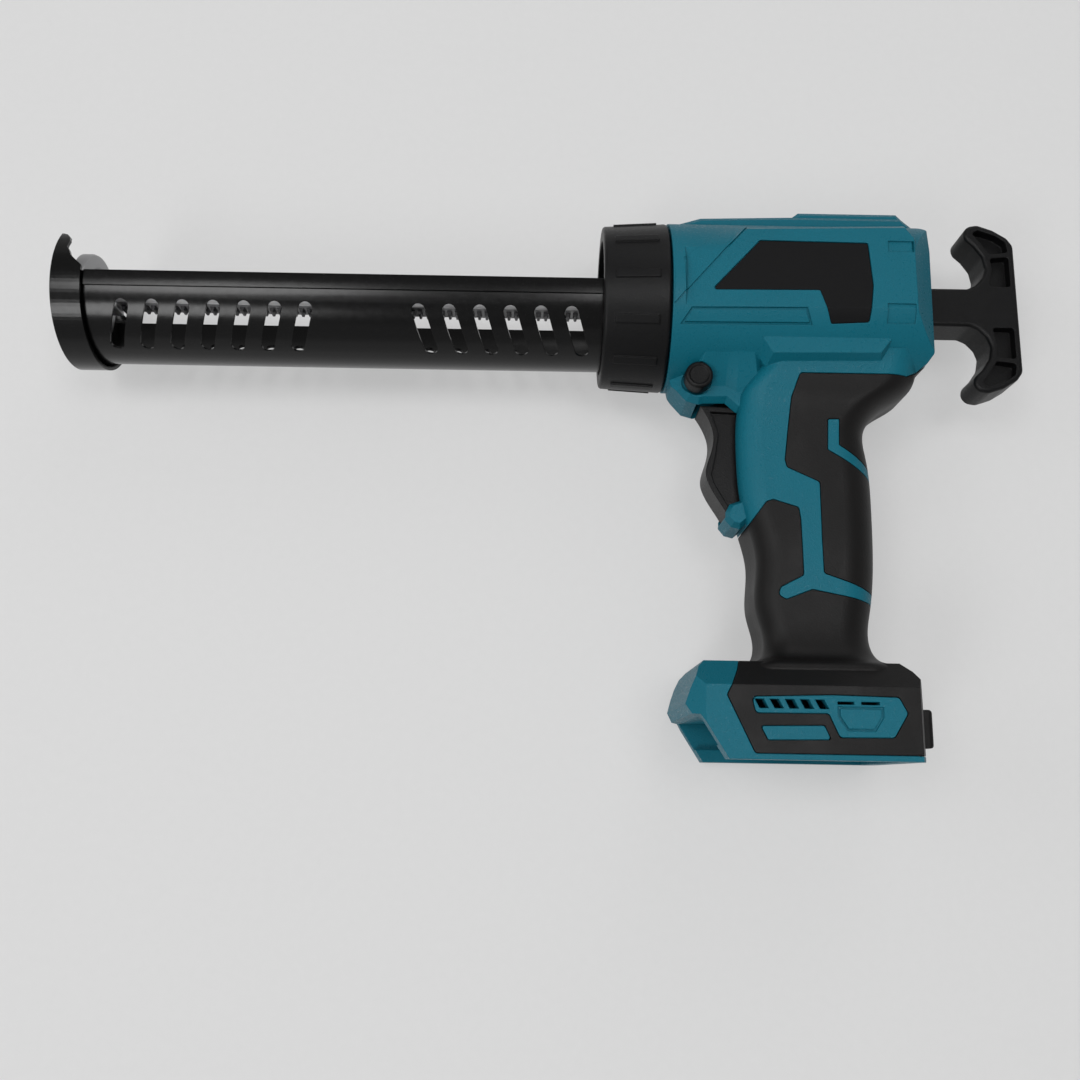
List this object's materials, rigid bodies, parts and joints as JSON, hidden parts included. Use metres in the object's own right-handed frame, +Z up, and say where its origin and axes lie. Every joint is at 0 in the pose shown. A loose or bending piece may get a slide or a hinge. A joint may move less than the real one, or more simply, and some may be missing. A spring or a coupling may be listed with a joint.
{
  "type": "cordless caulking gun",
  "caption": "Pistol-grip cordless caulking gun with a half-pipe cartridge barrel, toothed plunger bar, T pull handle, trigger and open battery foot.",
  "frame": {"origin": "centre of the bounding box's bottom face, under the tool lying on its right side", "axes": "+X from the muzzle to the pull handle along the plunger, +Y to the tool's top, +Z up from the floor to the tool's left side"},
  "size_m": [0.397, 0.2294, 0.074],
  "materials": {
    "teal_plastic": "fine spark texture",
    "grip_rubber": "soft matt",
    "label_film": "flat film",
    "black_plastic": "fine texture",
    "black_paint": "semi gloss powder coat",
    "rod_steel": "plated",
    "zinc": "zinc plated",
    "screw_steel": "oiled",
    "bush_plastic": "smooth",
    "gear_steel": "ground",
    "bronze": "plain",
    "motor_steel": "plated",
    "board_green": "solder mask",
    "sink_aluminium": "extruded"
  },
  "bodies": {
    "casing": {"left_housing": "teal_plastic", "right_housing": "teal_plastic", "upper_grip_skin_left": "grip_rubber", "upper_grip_skin_right": "grip_rubber", "lower_grip_skin_left": "grip_rubber", "lower_grip_skin_right": "grip_rubber", "rear_bumper": "grip_rubber", "label_plate_left": "label_film", "label_plate_right": "label_film", "switch_body": "black_plastic", "terminal_block": "black_plastic", "motor_end_bell": "black_plastic", "housing_screws": "screw_steel", "trigger_pin": "screw_steel", "frame_pillars": "screw_steel", "front_rod_guide": "bush_plastic", "rear_rod_guide": "bush_plastic", "idler_axle": "gear_steel", "outer_gear_plate": "zinc", "inner_gear_plate": "zinc", "right_gear_plate": "zinc", "axle_bushes": "bronze", "motor_case": "motor_steel", "gearbox_case": "zinc", "control_board": "board_green", "heat_sink": "sink_aluminium", "capacitors": "sink_aluminium", "contact_blades": "bronze"},
    "barrel": {"barrel": "black_paint", "barrel_ring": "black_paint", "front_cap": "black_paint"},
    "collar": {"collar": "black_plastic"},
    "plunger": {"plunger_rod": "rod_steel", "pusher_disc": "zinc", "disc_screw": "screw_steel", "pull_handle": "black_plastic", "handle_pin": "screw_steel"},
    "drive": {"drive_pinion": "gear_steel", "final_gear": "gear_steel", "drive_axle": "gear_steel"},
    "idler": {"idler_gear": "gear_steel"},
    "output": {"output_pinion": "gear_steel"},
    "trigger": {"trigger": "black_plastic"},
    "switch_plunger": {"switch_plunger": "black_plastic"},
    "lock_button": {"lock_button": "black_plastic"}
  },
  "joints": [
    {"name": "rod_slide", "type": "slide", "parent": "casing", "child": "plunger", "axis": [1, 0, 0], "range_m": [0, 0.2]},
    {"name": "drive_spin", "type": "hinge", "parent": "casing", "child": "drive", "pos_m": [0.09302, 0.06253, 0.037], "axis": [0, 0, 1], "range_deg": [-1640, 2]},
    {"name": "idler_spin", "type": "hinge", "parent": "casing", "child": "idler", "pos_m": [0.11765, 0.06686, 0.0516], "axis": [0, 0, 1], "range_deg": [-2, 1778]},
    {"name": "output_spin", "type": "hinge", "parent": "casing", "child": "output", "pos_m": [0.13203, 0.05603, 0.0516], "axis": [0, 0, 1], "range_deg": [-3553, 4]},
    {"name": "trigger_pull", "type": "hinge", "parent": "casing", "child": "trigger", "pos_m": [0.07906, 0.03373, 0.037], "axis": [0, 0, 1], "range_deg": [0, 7], "stiffness_Nm_per_rad": 0.8},
    {"name": "switch_push", "type": "slide", "parent": "casing", "child": "switch_plunger", "axis": [1, 0, 0], "range_m": [0, 0.0033]},
    {"name": "lock_push", "type": "slide", "parent": "casing", "child": "lock_button", "axis": [0, 0, -1], "range_m": [0, 0.003], "stiffness_N_per_m": 400},
    {"name": "collar_turn", "type": "hinge", "parent": "casing", "child": "collar", "pos_m": [0.05307, 0.07373, 0.037], "axis": [1, 0, 0], "range_deg": [0, 120]},
    {"name": "barrel_turn", "type": "hinge", "parent": "casing", "child": "barrel", "pos_m": [0.05307, 0.07373, 0.037], "axis": [1, 0, 0], "continuous": true}
  ],
  "couplings": [
    {"joint": "drive_spin", "follows": "rod_slide", "rad_per_m": -142.86},
    {"joint": "idler_spin", "follows": "rod_slide", "rad_per_m": 154.76},
    {"joint": "output_spin", "follows": "rod_slide", "rad_per_m": -309.52},
    {"joint": "switch_push", "follows": "trigger_pull", "m_per_rad": 0.0265}
  ]
}
